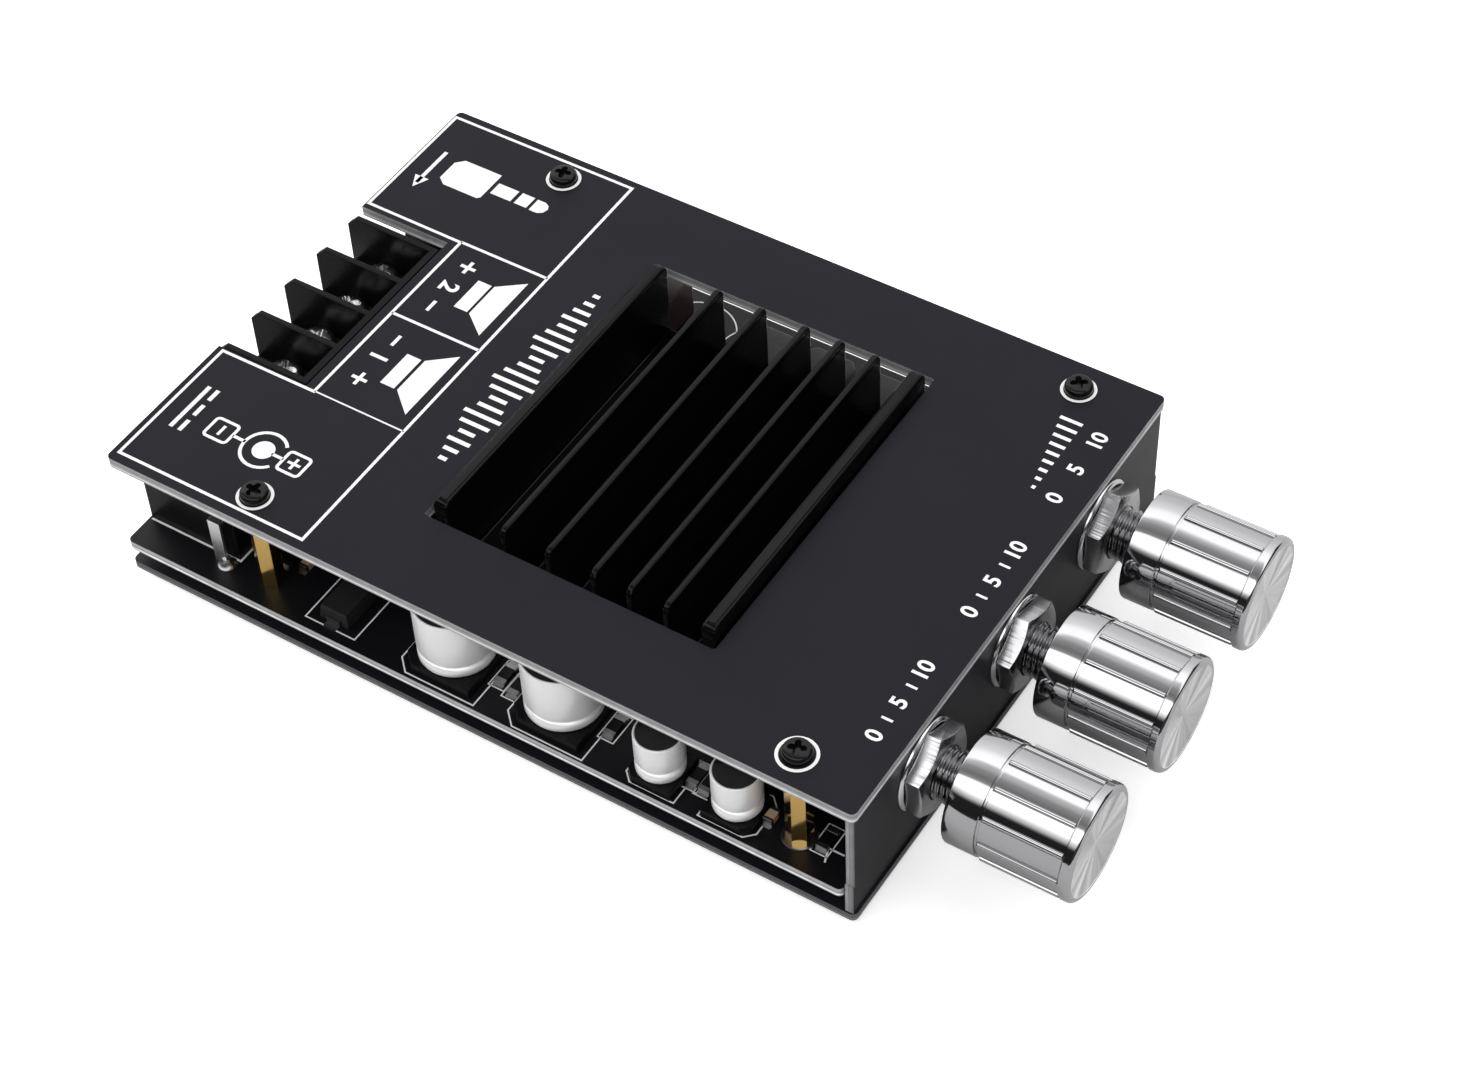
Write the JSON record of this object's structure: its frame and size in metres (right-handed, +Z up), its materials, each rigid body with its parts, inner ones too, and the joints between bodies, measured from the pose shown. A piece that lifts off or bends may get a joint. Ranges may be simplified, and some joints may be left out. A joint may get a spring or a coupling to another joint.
{
  "type": "audio amplifier board",
  "caption": "Flat stereo amplifier board between two cover plates, with a finned heatsink, rotary knobs in front and a screw terminal block, power and line sockets behind.",
  "frame": {"origin": "middle of the footprint of the whole object, on the surface that it stands on", "axes": "+Z up, -Y towards the knobs, +Y towards the terminals, +X towards the volume knob"},
  "size_m": [0.076, 0.1328, 0.0239],
  "materials": {
    "board_black": "satin solder mask over glass laminate",
    "brass": "plain turned",
    "nickel": "nickel plated",
    "black_steel": "black zinc plated",
    "anodised": "gloss black anodised",
    "pad": "soft",
    "moulded": "moulded black",
    "tinned": "tin plated",
    "can": "satin sleeve",
    "ferrite": "dull grey",
    "film": "dark brown dipped",
    "ceramic": "fired",
    "aluminium": "turned",
    "knob_chrome": "polished, bright plated"
  },
  "bodies": {
    "board": {"cover_plate": "board_black", "base_plate": "board_black", "main_board": "board_black", "front_panel": "board_black", "standoffs": "brass", "lower_spacers": "nickel", "cover_screws": "black_steel", "base_screws": "black_steel", "heatsink": "anodised", "thermal_pad": "pad", "amplifier_chip": "moulded", "terminal_block": "moulded", "terminal_plates": "tinned", "dc_jack_housing": "moulded", "dc_jack_pin": "nickel", "dc_jack_tabs": "tinned", "aux_jack_housing": "moulded", "aux_jack_tabs": "tinned", "control_pins": "tinned", "large_can_bases": "moulded", "large_cans": "can", "small_can_bases": "moulded", "small_cans": "can", "output_inductors": "ferrite", "film_capacitors": "film", "diode": "moulded", "preamp_chips": "moulded", "voltage_regulator": "moulded", "chip_resistors": "moulded", "chip_capacitors": "ceramic", "treble_control_body": "moulded", "treble_bushing": "nickel", "treble_washer": "nickel", "treble_nut": "nickel", "bass_control_body": "moulded", "bass_bushing": "nickel", "bass_washer": "nickel", "bass_nut": "nickel", "volume_control_body": "moulded", "volume_bushing": "nickel", "volume_washer": "nickel", "volume_nut": "nickel"},
    "treble_knob": {"treble_shaft": "aluminium", "treble_knob": "knob_chrome"},
    "bass_knob": {"bass_shaft": "aluminium", "bass_knob": "knob_chrome"},
    "volume_knob": {"volume_shaft": "aluminium", "volume_knob": "knob_chrome"},
    "clamp_1": {"clamp_plate_1": "nickel"},
    "screw_1": {"terminal_screw_1": "nickel"},
    "clamp_2": {"clamp_plate_2": "nickel"},
    "screw_2": {"terminal_screw_2": "nickel"},
    "clamp_3": {"clamp_plate_3": "nickel"},
    "screw_3": {"terminal_screw_3": "nickel"},
    "clamp_4": {"clamp_plate_4": "nickel"},
    "screw_4": {"terminal_screw_4": "nickel"}
  },
  "joints": [
    {"name": "treble_turn", "type": "hinge", "parent": "board", "child": "treble_knob", "pos_m": [-0.0218, -0.0433, 0.0136], "axis": [0, 1, 0], "range_deg": [-150, 150]},
    {"name": "bass_turn", "type": "hinge", "parent": "board", "child": "bass_knob", "pos_m": [0, -0.0433, 0.0136], "axis": [0, 1, 0], "range_deg": [-150, 150]},
    {"name": "volume_turn", "type": "hinge", "parent": "board", "child": "volume_knob", "pos_m": [0.0218, -0.0433, 0.0136], "axis": [0, 1, 0], "range_deg": [-150, 150]},
    {"name": "clamp_1_lift", "type": "slide", "parent": "board", "child": "clamp_1", "axis": [0, 0, 1], "range_m": [0, 0.003]},
    {"name": "screw_1_turn", "type": "hinge", "parent": "clamp_1", "child": "screw_1", "pos_m": [-0.0108, 0.0593, 0.0149], "axis": [0, 0, 1], "range_deg": [0, 2160]},
    {"name": "clamp_2_lift", "type": "slide", "parent": "board", "child": "clamp_2", "axis": [0, 0, 1], "range_m": [0, 0.003]},
    {"name": "screw_2_turn", "type": "hinge", "parent": "clamp_2", "child": "screw_2", "pos_m": [-0.0038, 0.0593, 0.0149], "axis": [0, 0, 1], "range_deg": [0, 2160]},
    {"name": "clamp_3_lift", "type": "slide", "parent": "board", "child": "clamp_3", "axis": [0, 0, 1], "range_m": [0, 0.003]},
    {"name": "screw_3_turn", "type": "hinge", "parent": "clamp_3", "child": "screw_3", "pos_m": [0.0032, 0.0593, 0.0149], "axis": [0, 0, 1], "range_deg": [0, 2160]},
    {"name": "clamp_4_lift", "type": "slide", "parent": "board", "child": "clamp_4", "axis": [0, 0, 1], "range_m": [0, 0.003]},
    {"name": "screw_4_turn", "type": "hinge", "parent": "clamp_4", "child": "screw_4", "pos_m": [0.0102, 0.0593, 0.0149], "axis": [0, 0, 1], "range_deg": [0, 2160]}
  ],
  "couplings": [
    {"joint": "screw_1_turn", "follows": "clamp_1_lift", "rad_per_m": 12566},
    {"joint": "screw_2_turn", "follows": "clamp_2_lift", "rad_per_m": 12566},
    {"joint": "screw_3_turn", "follows": "clamp_3_lift", "rad_per_m": 12566},
    {"joint": "screw_4_turn", "follows": "clamp_4_lift", "rad_per_m": 12566}
  ]
}
